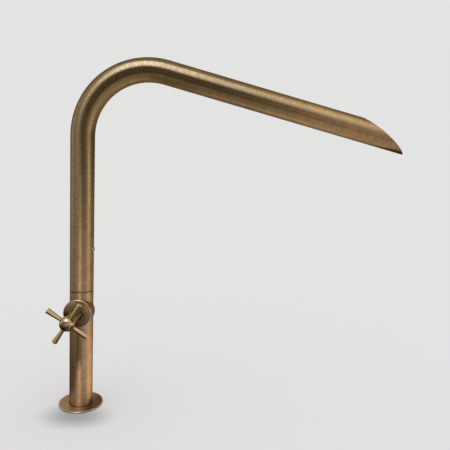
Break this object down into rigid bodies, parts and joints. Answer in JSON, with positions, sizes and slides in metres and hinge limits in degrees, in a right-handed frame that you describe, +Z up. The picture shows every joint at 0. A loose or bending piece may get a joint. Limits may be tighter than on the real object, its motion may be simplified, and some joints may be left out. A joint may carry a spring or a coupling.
{
  "type": "deck-mounted swan-neck garden tap",
  "caption": "Tall deck-mounted garden tap: slim aged-brass column, swinging bent spout cut off at a slant, and a cross handle on the side that works a quarter-turn valve.",
  "frame": {"origin": "centre of the base flange's underside, on the deck it stands on", "axes": "+Z up the column, +X the way the spout reaches at rest, -Y out along the valve to the cross handle"},
  "size_m": [0.4022, 0.0883, 0.4245],
  "materials": {
    "brushed_brass": "aged brass, brushed round the tube",
    "polished_brass": "aged brass, turned and lightly polished",
    "raw_brass": "machined, not finished",
    "copper": "drawn copper pipe",
    "steel": "stainless, bright",
    "white_ceramic": "lapped alumina",
    "white_plastic": "sliding plastic",
    "black_rubber": "smooth"
  },
  "bodies": {
    "body": {"base_flange": "brushed_brass", "base_gasket": "black_rubber", "base_plug": "raw_brass", "body_column": "brushed_brass", "riser_pipe": "copper", "valve_block": "raw_brass", "valve_collar": "brushed_brass", "bonnet_cap": "brushed_brass", "cartridge_body": "raw_brass", "seat_seal": "black_rubber", "fixed_disc": "white_ceramic", "cartridge_o_ring": "black_rubber", "thrust_washer": "white_plastic", "swivel_nipple": "raw_brass", "nipple_o_rings": "black_rubber", "slide_ring": "white_plastic"},
    "handle": {"spindle": "raw_brass", "moving_disc": "white_ceramic", "spindle_o_rings": "black_rubber", "circlip": "steel", "handle_hub": "polished_brass", "handle_arm_1": "polished_brass", "handle_arm_2": "polished_brass", "handle_arm_3": "polished_brass", "handle_arm_4": "polished_brass", "handle_screw": "steel", "index_cap": "polished_brass"},
    "spout": {"spout_tube": "brushed_brass", "spout_bush": "raw_brass", "spout_screw": "polished_brass"}
  },
  "joints": [
    {"name": "handle_turn", "type": "hinge", "parent": "body", "child": "handle", "pos_m": [0, -0.053, 0.1218], "axis": [0, -1, 0], "range_deg": [0, 90]},
    {"name": "spout_swivel", "type": "hinge", "parent": "body", "child": "spout", "pos_m": [0, 0, 0.1465], "axis": [0, 0, 1], "continuous": true}
  ]
}
